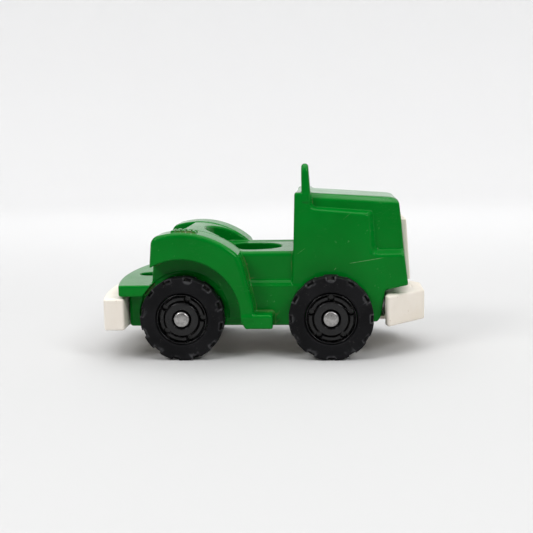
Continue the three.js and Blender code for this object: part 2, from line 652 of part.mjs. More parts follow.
for (const [end, x] of [["rear", 0], ["front", WHEELBASE]]) {
  const set = new THREE.Group();
  set.position.set(x, 0, AXLE_Z);
  set.add(meshOf(`${end}_axle`, axle(), steel));
  for (const [hand, turn] of [["left", 0], ["right", Math.PI]]) {
    const wheel = new THREE.Group();
    wheel.rotation.z = turn;
    wheel.add(meshOf(`${end}_${hand}_tyre`, tyre(), tyreBlack));
    wheel.add(meshOf(`${end}_${hand}_hub`, hub(), hubBlack));
    set.add(wheel);
  }
  truck.add(set);
}

SCREWS.forEach(([x, y], i) => {
  const mesh = meshOf(`base_screw_${i + 1}`, screw(), steel);
  mesh.position.set(x, y, BASE.bottom + SCREW_CUP.depth);
  truck.add(mesh);
});

truck.updateMatrixWorld(true);
export default truck;
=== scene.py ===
"""Toy truck tractor: moulded green body on white trim, black wheels on steel axles.

Shapes are worked out in millimetres in the toy's own frame: X from the rear axle towards the
nose, Y to the toy's left, Z up from the mouldings' own datum. Each moulding is a distance field,
positive outside, whose edges and inner corners are rounded as it is put together. The last
argument of both(), join() and cut() is that rounding's radius. sculpt() meshes the field.
"""
import json
import math

import bpy
import numpy as np
from mathutils import Matrix, Vector

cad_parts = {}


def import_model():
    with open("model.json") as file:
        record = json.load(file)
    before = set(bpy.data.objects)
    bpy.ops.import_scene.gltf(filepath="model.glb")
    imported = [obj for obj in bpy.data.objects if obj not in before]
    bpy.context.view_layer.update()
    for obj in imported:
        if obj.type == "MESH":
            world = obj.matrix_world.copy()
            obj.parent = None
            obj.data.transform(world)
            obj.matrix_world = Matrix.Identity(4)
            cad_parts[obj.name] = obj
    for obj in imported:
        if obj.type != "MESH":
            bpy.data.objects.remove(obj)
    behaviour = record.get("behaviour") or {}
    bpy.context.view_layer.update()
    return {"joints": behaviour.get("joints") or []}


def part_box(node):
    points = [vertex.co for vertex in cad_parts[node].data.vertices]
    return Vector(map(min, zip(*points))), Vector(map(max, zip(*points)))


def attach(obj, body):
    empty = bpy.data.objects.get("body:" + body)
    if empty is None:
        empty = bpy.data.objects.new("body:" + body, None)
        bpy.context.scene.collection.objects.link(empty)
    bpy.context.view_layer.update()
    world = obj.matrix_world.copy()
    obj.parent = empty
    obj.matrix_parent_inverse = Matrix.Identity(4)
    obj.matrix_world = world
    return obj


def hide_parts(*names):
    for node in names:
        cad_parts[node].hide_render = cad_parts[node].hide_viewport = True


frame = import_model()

MM = 0.001
JOINTS = {joint["name"]: Vector(joint["pos_m"]) for joint in frame["joints"]}
REAR_AXLE = JOINTS["rear_axle_spin"]
FRONT_AXLE = JOINTS["front_axle_spin"]
WHEEL_RADIUS = REAR_AXLE.z / MM
WHEELBASE = (FRONT_AXLE.x - REAR_AXLE.x) / MM
AXLE_Z = 16.65
ARCH_Z = 17.0
DATUM = REAR_AXLE - Vector((0, 0, AXLE_Z * MM))


def extent(node):
    """A CAD node's lowest and highest corners in the toy's own millimetres."""
    low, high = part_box(node)
    return (low - DATUM) / MM, (high - DATUM) / MM


# ------------------------------------------------------------------ dimensions, millimetres

FIT_GAP = 0.3
SIDE_Y = 23.6
BODY_BOTTOM = 12.3
WALL = 2.2
SEAT_TOP = 43.4
SEAT_HOLE = {"x": 28.2, "radius": 12.0, "depth": 14.0}
SEAT_RECESS = {"x": 23.5, "radius": 17.0}
# the tub behind the cab: its half-width above and below the side ledge, and where it starts and ends
TUB = {
    "half": 22.0, "ledge": 31.6, "steep": 1.3, "below": 29.65, "rear": -18.5, "step": -1.5, "front": 50.0,
}
CAB_FRONT_X = 53.4
# heights up the cab's back, and X at each
CAB_REAR = ([30, 48.5, 67.1], [45.6, 46.4, 47.0])
HOOD_SIDE_Y = 20.6
# the hood's flat top: its height and half-width at the cab, what each loses per millimetre
# forward, and the drop from it to the hood's side
HOOD = {"top": 67.4, "fall": 0.0693, "flat": 17.8, "taper": 0.054, "shoulder": 1.9}
# along X, how far the ledges beside the hood drop per millimetre outwards
LEDGE_DROP = ([CAB_FRONT_X, 79, 82], [0.27, 0.5, 0.66])
FENDER = {
    "inner": 17.1, "outer": 32.3, "radius": 35.6, "arch": 24.6, "rear": -13.6, "lean": 0.09, "foot": 31.0,
}
# the solid block that joins the fenders behind the driver
FENDER_BLOCK = {"front": 24.1, "half": 24.0, "drop": 0.2, "bottom": 29.0, "root": 30.0}
FENDER_BAND_Y = 23.0
WHEEL_ROOM = 18.8
DECK = {"top": 30.94, "bottom": 26.14, "half": 31.7, "centre": -30.0, "edge": -26.1, "front": -12.6}
SKIRT = {"rear": -23.4, "front": -17.5, "half": 25.6}
HITCH = {"x": -18.6, "radius": 5.0}
STACK = {
    "rear": 49.9, "base": 53.6, "front": 52.8, "inner": 15.6, "top": 79.6, "roof": 67.9, "root": 64.0,
}
TREAD = {
    "rows": (22.8, 27.2), "first": -5.0, "last": 9.0, "bars": 5, "height": 0.9, "long": 1.6, "thick": 0.8,
}

AXLE_RADIUS = 3.175
AXLE_END = 32.9
# the rod's slightly domed end and its rounded rim
AXLE_DOME = {"radius": 2.45, "rise": 0.22, "rim": 0.6}
WHEEL_INNER, WHEEL_OUTER = 24.1, 32.3
TYRE_BORE = 10.85
LUGS = {"count": 12, "half": 1.5, "depth": 1.3, "reach": 2.9}
HUB = {
    "radius": 10.5, "bore": 3.4, "boss": 7.0, "channel": 2.6, "channel_radius": 10.0, "face": 32.0,
    "back_radius": 9.3, "web": 2.2, "countersink": 3.9, "countersink_depth": 2.2,
}
HUB_BAND = {"inner": 7.6, "outer": 9.3, "below": 0.9}
HUB_HOLES = {"count": 5, "radius": 1.3, "pitch": 8.5, "depth": 3.4}
BASE = {"bottom": 11.8, "top": 13.4, "rear": -20.8, "front": 79.6, "half": 21.1}
BASE_EAR_GAP = 0.4
SCREWS = [(9, 11), (9, -11), (72, 13), (72, -13)]
SCREW_CUP = {"inner": 3.3, "outer": 4.6, "depth": 1.7, "top": 15.0, "hole": 1.75}
SCREW = {"head": 2.9, "thick": 1.4, "shank": 1.35, "long": 11.0, "slot": 0.4, "reach": 2.0, "deep": 0.7}
FRONT_BUMPER = {
    "bottom": 12.3, "top": 25.2, "end": 85.2, "droop": 0.03, "block": 13.6, "back": 84.8, "joint": 97.0,
    "block_half": 24.0, "block_taper": 1.52, "root_half": 9.5, "tongue": 79.9, "tongue_top": 13.25,
}
REAR_BUMPER = {"bottom": 12.0, "top": 25.3, "centre": -36.5, "edge": -32.5, "half": 32.3, "front": -24.2}
GRILLE = {"half": 12.0, "bars": 5, "groove": 0.7, "low": 32.6, "high": 52.5, "front": 95.45, "lean": 0.0695}
GRILLE_BOTTOM = 29.6

# side outlines as (x, z, corner radius)
CAB_OUTLINE = [
    (45.5, 5, 0), (45.6, 30, 8), (46.4, 48.5, 8), (47.0, 67.9, 1.0), (53.2, 67.8, 3),
    (54.4, 67.35, 3), (86.8, 65.1, 6), (89.9, 64.2, 2.8), (90.9, 55.6, 6), (92.1, 41.4, 4),
    (93.7, 29, 0.7), (84.2, 26.9, 1.5), (82.4, 15.5, 4), (80.9, 13.6, 1.2),
    (WHEELBASE + 4, 13.4, 2), (WHEELBASE, 12.3, 2), (WHEELBASE - 2, 5, 0),
]
LEDGES = [
    (40, 62.94, 0), (79.2, 59.9, 1.7), (80.4, 43.7, 2.2), (110, 43.7, 0), (110, 95, 0), (40, 95, 0),
]
FENDER_FRONT = [
    (-60, 15.4, 0), (-60, 70, 0), (21.5, 70, 0), (24.1, 42.8, 2), (25.8, 38.5, 6), (27.4, 31.7, 6),
    (29.5, 23.3, 6), (30.6, 15.4, 0),
]
GRILLE_OUTLINE = [
    (93.8, GRILLE_BOTTOM, 0.4), (GRILLE["front"], GRILLE_BOTTOM, 0.6), (93.65, 55.5, 0.8),
    (91.1, 55.5, 0.5),
]
# plan outlines as (x, distance from the centre plane, corner radius)
BUMPER_PLAN = [
    (101.7, -20, 0), (101.7, 9, 0.9), (FRONT_BUMPER["end"], 28, 1.3), (84.0, 24.2, 1.2),
    (96.5, 4.7, 3), (96.5, -20, 0),
]
FOOT = [
    (23.5, 15.4, 0), (24.6, 15.3, 0.5), (26.6, 12.3, 1.0), (37.75, 12.3, 0.9), (37.75, 18.4, 1.3),
    (23.5, 18.4, 0),
]


# ------------------------------------------------------------------ distance fields


def both(a, b, radius=0.0):
    """What two fields share, with its convex edge rounded."""
    if radius == 0:
        return np.maximum(a, b)
    corner = np.hypot(np.maximum(radius + a, 0), np.maximum(radius + b, 0))
    return np.minimum(-radius, np.maximum(a, b)) + corner


def join(a, b, radius=0.0):
    """Two fields together, with a fillet where they meet."""
    if radius == 0:
        return np.minimum(a, b)
    corner = np.hypot(np.maximum(radius - a, 0), np.maximum(radius - b, 0))
    return np.maximum(radius, np.minimum(a, b)) - corner


def cut(a, b, radius=0.0):
    """The first field without the second, with its new edges rounded."""
    return both(a, -b, radius)


def between(value, low, high):
    """The field of a slab."""
    return np.abs(value - (low + high) / 2) - (high - low) / 2


def rounded(corners):
    """The points of an outline whose corners (x, z, radius) are arcs in steps of about ten degrees."""
    points = []
    count = len(corners)
    for i, (x, z, radius) in enumerate(corners):
        here = np.array((x, z), float)
        back = np.array(corners[i - 1][:2], float) - here
        ahead = np.array(corners[(i + 1) % count][:2], float) - here
        back_length, ahead_length = np.linalg.norm(back), np.linalg.norm(ahead)
        back, ahead = back / back_length, ahead / ahead_length
        opening = math.acos(np.clip(np.dot(back, ahead), -1, 1))
        turn = math.pi - opening
        if radius == 0 or turn < 0.01:
            points.append(here)
            continue
        reach = min(radius * math.tan(turn / 2), 0.48 * back_length, 0.48 * ahead_length)
        radius = reach / math.tan(turn / 2)
        middle = (back + ahead) / np.linalg.norm(back + ahead)
        centre = here + middle * math.hypot(reach, radius)
        start, end = here + back * reach - centre, here + ahead * reach - centre
        steps = max(1, round(math.degrees(turn) / 10))
        for k in range(steps + 1):
            t = k / steps
            spoke = start * math.sin((1 - t) * turn) + end * math.sin(t * turn)
            points.append(centre + spoke / math.sin(turn))
    return np.array(points)


def outline(corners):
    """The field of a closed outline in two coordinates."""
    starts = rounded(corners)
    ends = np.roll(starts, -1, axis=0)

    def field(u, v):
        nearest, inside = None, False
        for (au, av), (bu, bv) in zip(starts, ends):
            eu, ev = bu - au, bv - av
            wu, wv = u - au, v - av
            t = np.clip((wu * eu + wv * ev) / (eu * eu + ev * ev), 0, 1)
            away = (wu - eu * t) ** 2 + (wv - ev * t) ** 2
            nearest = away if nearest is None else np.minimum(nearest, away)
            above_start, below_end, left = v >= av, v < bv, eu * wv > ev * wu
            flips = (above_start & below_end & left) | ~(above_start | below_end | left)
            inside = inside ^ flips
        return np.where(inside, -1, 1) * np.sqrt(nearest)

    return field


# ------------------------------------------------------------------ meshing

# how far off the surface a crease or an edge is felt
WEAR_AND_SHADE_REACH = 1.1
CELL_CORNERS = [(i, j, k) for i in (0, 1) for j in (0, 1) for k in (0, 1)]
CELL_EDGES = [(a, b) for a in CELL_CORNERS for b in CELL_CORNERS
              if sum(b) - sum(a) == 1 and all(q >= p for p, q in zip(a, b))]


def surface_cells(values):
    """One point per grid cell that the surface passes through, and the quads that join them."""
    inside = values < 0
    cells = tuple(n - 1 for n in values.shape)

    def at(array, corner):
        return array[tuple(slice(c, c + n) for c, n in zip(corner, cells))]

    total = sum(at(inside, c).astype(np.int8) for c in CELL_CORNERS)
    active = (total > 0) & (total < 8)
    number = np.full(cells, -1, np.int64)
    number[active] = np.arange(active.sum())
    spots = np.argwhere(active)
    points = np.zeros((len(spots), 3))
    hits = np.zeros(len(spots))
    for a, b in CELL_EDGES:
        va, vb = at(values, a)[active], at(values, b)[active]
        crossing = (va < 0) != (vb < 0)
        t = np.where(crossing, va / np.where(crossing, va - vb, 1), 0)
        where = np.array(a) + t[:, None] * (np.array(b) - np.array(a))
        points += np.where(crossing[:, None], where, 0)
        hits += crossing
    points = spots + points / hits[:, None]
    quads = []
    for axis in range(3):
        u, v = (axis + 1) % 3, (axis + 2) % 3
        near = [slice(None)] * 3
        far = [slice(None)] * 3
        near[axis], far[axis] = slice(None, -1), slice(1, None)
        start, end = inside[tuple(near)], inside[tuple(far)]
        edges = np.argwhere(start != end)
        edges = edges[(edges[:, u] > 0) & (edges[:, v] > 0)]
        edges = edges[(edges[:, u] < cells[u]) & (edges[:, v] < cells[v])]
        leaving = start[tuple(edges.T)]
        ring = []
        for du, dv in ((-1, -1), (0, -1), (0, 0), (-1, 0)):
            cell = edges.copy()
            cell[:, u] += du
            cell[:, v] += dv
            ring.append(number[tuple(cell.T)])
        quad = np.stack(ring, 1)
        quads.append(np.where(leaving[:, None], quad, quad[:, ::-1]))
    return points, np.concatenate(quads)


def slope(field, points, reach):
    """A field's value and its direction of increase at some points."""
    x, y, z = points.T
    value = field(x, y, z)
    ahead = [field(x + reach, y, z), field(x, y + reach, z), field(x, y, z + reach)]
    return value, (np.stack(ahead, 1) - value[:, None]) / reach


def settle(field, points, step):
    """Moves points onto the surface."""
    for _ in range(2):
        value, rise = slope(field, points, 0.05 * step)
        length = np.maximum((rise ** 2).sum(1), 0.2)
        move = rise * (value / length)[:, None]
        far = np.linalg.norm(move, axis=1) / (0.5 * step)
        points = points - move / np.maximum(far, 1)[:, None]
    return points


def evened(points, quads):
    """Moves each point halfway to the middle of its neighbours, which evens out the grid."""
    total, count = np.zeros_like(points), np.zeros(len(points))
    for a, b in ((0, 1), (1, 2), (2, 3), (3, 0)):
        for p, q in ((a, b), (b, a)):
            for axis in range(3):
                total[:, axis] += np.bincount(quads[:, p], points[quads[:, q], axis], len(points))
            count += np.bincount(quads[:, p], minlength=len(points))
    return 0.5 * points + 0.5 * total / count[:, None]


def mesh_of(name, points, faces):
    mesh = bpy.data.meshes.new(name)
    mesh.vertices.add(len(points))
    mesh.vertices.foreach_set("co", np.asarray(points, np.float32).ravel())
    corners = faces.shape[1]
    mesh.loops.add(faces.size)
    mesh.loops.foreach_set("vertex_index", faces.ravel().astype(np.int32))
    mesh.polygons.add(len(faces))
    mesh.polygons.foreach_set("loop_start", np.arange(0, faces.size, corners, dtype=np.int32))
    mesh.update(calc_edges=True)
    mesh.validate()
    return mesh


def linked(name, mesh):
    obj = bpy.data.objects.new(name, mesh)
    bpy.context.scene.collection.objects.link(obj)
    return obj


def positions(mesh):
    co = np.zeros(len(mesh.vertices) * 3, np.float32)
    mesh.vertices.foreach_get("co", co)
    return co.reshape(-1, 3).astype(float)


def finished(obj, field, step):
    """Smooth shading from the field itself, and how hollow or proud each point lies."""
    mesh = obj.data
    points = positions(mesh)
    _, rise = slope(field, points, 0.1 * step)
    normals = rise / np.maximum(np.linalg.norm(rise, axis=1), 1e-6)[:, None]
    # the crease and edge values drive dust and wear, and also painted shade and a painted highlight on the
    # tyres
    outer = field(*(points + WEAR_AND_SHADE_REACH * normals).T)
    inner = field(*(points - WEAR_AND_SHADE_REACH * normals).T)
    for title, values in (("crease", 1 - outer / WEAR_AND_SHADE_REACH), ("edge", 1 + inner / WEAR_AND_SHADE_REACH)):
        layer = mesh.attributes.new(title, "FLOAT", "POINT")
        layer.data.foreach_set("value", np.clip(values, 0, 1).astype(np.float32))
    mesh.polygons.foreach_set("use_smooth", np.ones(len(mesh.polygons), bool))
    mesh.normals_split_custom_set_from_vertices([Vector(n) for n in normals])


def sculpt(name, field, low, high, step, keep=1.0, place=None):
    """A closed mesh of the surface where a field is zero, as an object placed in the row frame."""
    margin = 1.5 * step
    axes = [np.arange(a - margin, b + margin + step, step) for a, b in zip(low, high)]
    x, y, z = np.meshgrid(*axes, indexing="ij", sparse=True)
    values = np.broadcast_to(field(x, y, z), [len(a) for a in axes])
    cells, quads = surface_cells(values)
    points = np.array([a[0] for a in axes]) + cells * step
    points = settle(field, points, step)
    points = settle(field, evened(points, quads), step)
    obj = linked(name, mesh_of(name, points, quads))
    if keep < 1:
        thin = obj.modifiers.new("thin", "DECIMATE")
        thin.ratio = keep
        thin.use_collapse_triangulate = True
        with bpy.context.temp_override(object=obj, active_object=obj, selected_objects=[obj]):
            bpy.ops.object.modifier_apply(modifier=thin.name)
    finished(obj, field, step)
    obj.data.transform((place or Matrix.Translation(DATUM)) @ Matrix.Scale(MM, 4))
    return obj


# ------------------------------------------------------------------ body


def hood_top(x):
    """Height of the hood's flat top."""
    return HOOD["top"] - HOOD["fall"] * (x - CAB_FRONT_X)


def cab_rear(z):
    """X of the cab's back at a height."""
    return np.interp(z, *CAB_REAR)


ledges = outline(LEDGES)
cab_side = outline(CAB_OUTLINE)
fender_front = outline(FENDER_FRONT)
foot_side = outline(FOOT)


def cab_and_hood(x, y, z, side):
    """The cab, with the narrower hood above two sloping ledges, and the stack."""
    block = both(cab_side(x, z), side - SIDE_Y, 1.0)
    out = side - HOOD_SIDE_Y
    drop = np.interp(x, *LEDGE_DROP) * out
    recess = both(ledges(x + 0.67 * out, z + drop), CAB_FRONT_X + 0.6 - 0.2 * out - x, 2.2)
    recess = both(recess, -out, 0.4)
    block = cut(block, recess, 0.8)
    flat = HOOD["flat"] - HOOD["taper"] * (x - CAB_FRONT_X)
    fall = HOOD["shoulder"] / (HOOD_SIDE_Y - flat)
    shoulder = (z - hood_top(x) + fall * (side - flat)) / np.sqrt(1 + fall ** 2)
    block = cut(block, both(-shoulder, CAB_FRONT_X - x, 0.8), 0.7)
    return join(block, stack(x, y, z), 0.5)


def stack(x, y, z):
    """A flat round-topped tab on the right-hand edge of the cab."""
    radius = (SIDE_Y - STACK["inner"]) / 2
    middle = -(SIDE_Y + STACK["inner"]) / 2
    rise = np.maximum(z - (STACK["top"] - radius), 0)
    width = np.hypot(y - middle, rise) - radius
    width = both(width, STACK["root"] - z)
    lean = (STACK["base"] - STACK["front"]) / (STACK["top"] - STACK["roof"])
    front = x - STACK["base"] + lean * (z - STACK["roof"])
    return both(width, both(front, STACK["rear"] - x), 1.25)


def seat(x, y, z, side):
    """The lower body and the driver's deck, with a ledge along each side."""
    lower = both(side - SIDE_Y, z - TUB["below"], 0.7)
    slope_top = z - TUB["ledge"] + TUB["steep"] * (side - TUB["half"])
    slope_top = slope_top / math.hypot(1, TUB["steep"])
    ledge = both(both(side - SIDE_Y, z - TUB["ledge"]), slope_top, 0.7)
    lower = np.minimum(lower, both(ledge, TUB["step"] - x))
    upper = both(side - TUB["half"], z - SEAT_TOP, 1.9)
    tub = join(lower, both(upper, TUB["step"] - x), 0.5)
    return both(tub, between(x, TUB["rear"], TUB["front"]), 0.4)


def fenders(x, y, z, side, about_arch):
    """Both fenders and the block behind the driver, still without the wheel arches."""
    front = both(about_arch - FENDER["radius"], fender_front(x, z), 0.7)
    rear = FENDER["rear"] + FENDER["lean"] * (z - FENDER["foot"]) - x
    profile = both(front, rear / math.hypot(1, FENDER["lean"]), 2.4)
    root = both(both(profile, FENDER["inner"] - side, 0.9), FENDER_BLOCK["root"] - z)
    back = both(about_arch - FENDER["radius"] + FENDER_BLOCK["drop"], TUB["step"] - x, 1.2)
    back = both(both(back, FENDER_BLOCK["bottom"] - z), x - FENDER_BLOCK["front"])
    back = both(back, side - FENDER["inner"] - 1)
    block = join(both(root, side - FENDER_BLOCK["half"]), back, 0.7)
    band = both(both(profile, side - FENDER["outer"], 1.9), FENDER_BAND_Y - side)
    step = both(both(foot_side(x, z), side - FENDER["outer"], 1.1), FENDER_BAND_Y - side)
    return np.minimum(block, join(band, step, 0.9))


def bowed(x, y, ends):
    """The field of an upright cylinder through a bowed edge's middle and its two ends."""
    sagitta = ends["edge"] - ends["centre"]
    radius = (ends["half"] ** 2 + sagitta ** 2) / (2 * sagitta)
    return np.hypot(x - ends["centre"] - radius, y) - radius


def rear_deck(x, y, z, side):
    """The hitch deck, with the skirt under it."""
    plan = both(both(bowed(x, y, DECK), side - DECK["half"], 1.0), x - DECK["front"])
    plate = both(plan, between(z, DECK["bottom"], DECK["top"]), 0.8)
    skirt = both(SKIRT["rear"] - x, side - SKIRT["half"], 1.6)
    skirt = both(skirt, both(x - SKIRT["front"], z - DECK["top"] + 1))
    skirt = both(skirt, BODY_BOTTOM - z, 1.2)
    middle = both(both(side - SIDE_Y, between(x, TUB["rear"], 4)), z - DECK["top"], 0.3)
    return join(np.minimum(plate, middle), skirt, 0.5)


def tread_pad(x, y, z, about_arch):
    """Raised bars like tread plate on the right-hand fender."""
    turn = np.degrees(np.arctan2(x, z - ARCH_Z))
    pitch = (TREAD["last"] - TREAD["first"]) / (TREAD["bars"] - 1)
    nearest = np.clip(np.round((turn - TREAD["first"]) / pitch), 0, TREAD["bars"] - 1)
    along = np.radians(turn - TREAD["first"] - pitch * nearest) * FENDER["radius"]
    rows = np.minimum(*[np.abs(y + row) - TREAD["long"] for row in TREAD["rows"]])
    plan = both(np.abs(along) - TREAD["thick"], rows, 0.4)
    levels = between(about_arch, FENDER["radius"] - 1, FENDER["radius"] + TREAD["height"])
    return both(plan, levels, 0.35)


def body_outside(x, y, z):
    """Everything but the hollow, carried on down below the body's open bottom."""
    side = np.abs(y)
    about_arch = np.hypot(x, z - ARCH_Z)
    main = join(cab_and_hood(x, y, z, side), seat(x, y, z, side), 0.6)
    main = join(main, fenders(x, y, z, side, about_arch), 0.6)
    arch = both(about_arch - FENDER["arch"], SIDE_Y - side, 0.5)
    main = cut(main, arch, 0.75)
    main = join(main, rear_deck(x, y, z, side), 0.7)
    wheel_room = both(np.hypot(x, z - AXLE_Z) - WHEEL_ROOM, SIDE_Y - side)
    main = cut(main, wheel_room, 0.4)
    main = join(main, tread_pad(x, y, z, about_arch), 0.2)
    recess = np.hypot(np.minimum(x - SEAT_RECESS["x"], 0), y) - SEAT_RECESS["radius"]
    recess = both(both(recess, x - 60), SEAT_TOP - z, 1.0)
    recess = both(recess, x - cab_rear(z))
    main = cut(main, recess, 1.1)
    socket = np.hypot(x - SEAT_HOLE["x"], y) - SEAT_HOLE["radius"]
    socket = both(socket, SEAT_TOP - SEAT_HOLE["depth"] - z, 1.2)
    main = cut(main, both(socket, z - 60), 0.8)
    return cut(main, both(np.hypot(x - HITCH["x"], y) - HITCH["radius"], z - 40), 0.7)


def body(x, y, z):
    """The shell, hollow and open below, with a slot for each axle."""
    side = np.abs(y)
    outside = body_outside(x, y, z)
    hollow = both(outside + WALL, side - SIDE_Y + WALL, 1.0)
    mouth = both(both(between(x, -21, 79), side - SIDE_Y + WALL), z - 18)
    shell = cut(both(outside, BODY_BOTTOM - z, 0.5), np.minimum(hollow, mouth), 0.4)
    for axle_x in (0, WHEELBASE):
        slot = np.hypot(x - axle_x, np.maximum(z - AXLE_Z, 0)) - AXLE_RADIUS - FIT_GAP
        shell = cut(shell, slot, 0.3)
    return shell


# ------------------------------------------------------------------ white trim


def base_plate(x, y, z):
    """The flat base, with an ear under each axle and a cup round each screw."""
    side = np.abs(y)
    plate = both(between(x, BASE["rear"], BASE["front"]), side - BASE["half"], 1.0)
    for axle_x in (0, WHEELBASE):
        ear = both(np.abs(x - axle_x) - AXLE_RADIUS, side - SIDE_Y + BASE_EAR_GAP, 0.3)
        plate = join(plate, ear, 0.4)
    plate = both(plate, between(z, BASE["bottom"], BASE["top"]), 0.3)
    for screw_x, screw_y in SCREWS:
        away = np.hypot(x - screw_x, y - screw_y)
        cup = both(away - SCREW_CUP["outer"], between(z, BASE["bottom"], SCREW_CUP["top"]), 0.3)
        seat_z = BASE["bottom"] + SCREW_CUP["depth"]
        plate = cut(join(plate, cup, 0.4), both(away - SCREW_CUP["inner"], z - seat_z, 0.3), 0.3)
        plate = cut(plate, away - SCREW_CUP["hole"], 0.1)
    return plate


bumper_plan = outline(BUMPER_PLAN)
grille_side = outline(GRILLE_OUTLINE)


def front_bumper(x, y, z):
    """A swept bar, the block behind it, and a tongue that reaches back under the nose."""
    side = np.abs(y)
    top = FRONT_BUMPER["top"]
    back, joint = FRONT_BUMPER["back"], FRONT_BUMPER["joint"]
    level = z + FRONT_BUMPER["droop"] * (x - FRONT_BUMPER["end"])
    bar = bumper_plan(x, side)
    taper = FRONT_BUMPER["block_taper"]
    narrowed = (side - FRONT_BUMPER["block_half"] + taper * (x - back)) / math.hypot(1, taper)
    fill = both(between(x, back, joint), narrowed, 0.5)
    upper = both(np.minimum(bar, fill), between(level, FRONT_BUMPER["block"], top), 0.9)
    lower = both(bar, between(level, FRONT_BUMPER["bottom"], 20), 0.9)
    width = side - FRONT_BUMPER["root_half"]
    root = both(both(between(x, back, joint), width, 0.6), between(z, BASE["bottom"], top - 1), 0.6)
    tongue = both(between(x, FRONT_BUMPER["tongue"], joint), width, 0.3)
    tongue = both(tongue, between(z, BASE["bottom"], FRONT_BUMPER["tongue_top"]), 0.3)
    return join(join(np.minimum(upper, lower), root, 0.6), tongue, 0.4)


def rear_bumper(x, y, z):
    """A bar behind the deck, bowed in plan and flat in front."""
    side = np.abs(y)
    plan = both(bowed(x, y, REAR_BUMPER), side - REAR_BUMPER["half"], 1.0)
    plan = both(plan, x - REAR_BUMPER["front"], 1.0)
    return both(plan, between(z, REAR_BUMPER["bottom"], REAR_BUMPER["top"]), 0.9)


def grille(x, y, z):
    """A leaning plate with upright grooves."""
    side = np.abs(y)
    plate = both(grille_side(x, z), side - GRILLE["half"], 0.6)
    pitch = 2 * GRILLE["half"] / (GRILLE["bars"] + 1)
    nearest = np.clip(np.round(y / pitch), -2, 2) * pitch
    front = x - GRILLE["front"] + GRILLE["lean"] * (z - GRILLE_BOTTOM) + GRILLE["groove"]
    groove = both(np.abs(y - nearest) - pitch / 5, between(z, GRILLE["low"], GRILLE["high"]), 0.5)
    return cut(plate, both(groove, -front, 0.3), 0.3)


# ------------------------------------------------------------------ wheels, in a left wheel's own frame


def nearest_of(count, x, z, offset=0.0):
    """Distances round and out from the nearest of so many spokes, the first straight up."""
    reach = np.hypot(x, z)
    pitch = 2 * math.pi / count
    turn = np.arctan2(x, z) - offset
    turn = turn - pitch * np.round(turn / pitch)
    return reach * np.sin(turn), reach * np.cos(turn)


def tyre(x, y, z):
    """A ring with a row of notches round each edge."""
    reach = np.hypot(x, z)
    middle = (WHEEL_INNER + WHEEL_OUTER) / 2
    half = (WHEEL_OUTER - WHEEL_INNER) / 2
    ring = both(reach - WHEEL_RADIUS, TYRE_BORE - reach, 0.0)
    ring = both(ring, np.abs(y - middle) - half, 0.75)
    for edge_y, sign, offset in ((WHEEL_OUTER, 1, 0.0), (WHEEL_INNER, -1, math.pi / LUGS["count"])):
        around, outward = nearest_of(LUGS["count"], x, z, offset)
        notch = both(np.abs(around) - LUGS["half"], WHEEL_RADIUS - LUGS["depth"] - outward, 0.25)
        notch = both(notch, sign * (edge_y - y) - LUGS["reach"], 0.25)
        ring = cut(ring, notch, 0.22)
    return ring


def hub(x, y, z):
    """A disc with a boss, and a broken band standing in the channel round it."""
    reach = np.hypot(x, z)
    face = HUB["face"]
    floor = face - HUB["channel"]
    disc = both(both(reach - HUB["radius"], y - face, 0.45), WHEEL_INNER - y, 0.3)
    channel = both(both(reach - HUB["channel_radius"], HUB["boss"] - reach, 0.3), floor - y, 0.5)
    disc = cut(disc, channel, 0.35)
    band = both(reach - HUB_BAND["outer"], HUB_BAND["inner"] - reach, 0.3)
    band = both(band, y - face + HUB_BAND["below"], 0.35)
    disc = join(disc, both(band, floor - 0.5 - y), 0.25)
    around, outward = nearest_of(HUB_HOLES["count"], x, z)
    hole = np.hypot(around, outward - HUB_HOLES["pitch"]) - HUB_HOLES["radius"]
    disc = cut(disc, both(hole, face - HUB_HOLES["depth"] - y, 0.3), 0.3)
    back = both(reach - HUB["back_radius"], HUB["boss"] - reach)
    disc = cut(disc, both(back, y - floor + HUB["web"], 0.4), 0.3)
    disc = cut(disc, reach - HUB["bore"], 0.2)
    countersink = both(reach - HUB["countersink"], face - HUB["countersink_depth"] - y)
    return cut(disc, countersink, 0.5)


def lathe(name, profile, sides, place):
    """A turned piece about the Y axis from (radius, y) points; it closes on the axis at both ends."""
    points, faces = [], []
    angles = [2 * math.pi * k / sides for k in range(sides)]
    points.append((0, profile[0][1], 0))
    for radius, y in profile[1:-1]:
        points += [(radius * math.sin(a), y, radius * math.cos(a)) for a in angles]
    points.append((0, profile[-1][1], 0))
    last = len(points) - 1
    for k in range(sides):
        ahead = (k + 1) % sides
        faces.append((0, 1 + ahead, 1 + k))
        for row in range(len(profile) - 3):
            a, b = 1 + row * sides, 1 + (row + 1) * sides
            faces.append((a + k, a + ahead, b + ahead, b + k))
        start = 1 + (len(profile) - 3) * sides
        faces.append((start + k, start + ahead, last))
    mesh = bpy.data.meshes.new(name)
    mesh.from_pydata([Vector(p) * MM for p in points], [], faces)
    mesh.polygons.foreach_set("use_smooth", np.ones(len(mesh.polygons), bool))
    mesh.update()
    mesh.transform(place)
    return linked(name, mesh)


def axle_profile():
    """The rod with slightly domed ends and rounded rims, as (radius, y) from right to left."""
    dome, rise, rim = AXLE_DOME["radius"], AXLE_DOME["rise"], AXLE_DOME["rim"]
    left = []
    for k in range(5):
        radius = dome * k / 4
        left.append((radius, AXLE_END - rise * (radius / dome) ** 2))
    for k in range(1, 6):
        a = math.radians(12 + 78 * k / 5)
        radius = dome + (AXLE_RADIUS - dome) * math.sin(a)
        left.append((radius, AXLE_END - rise - rim * (1 - math.cos(a))))
    return [(radius, -y) for radius, y in left] + left[::-1]


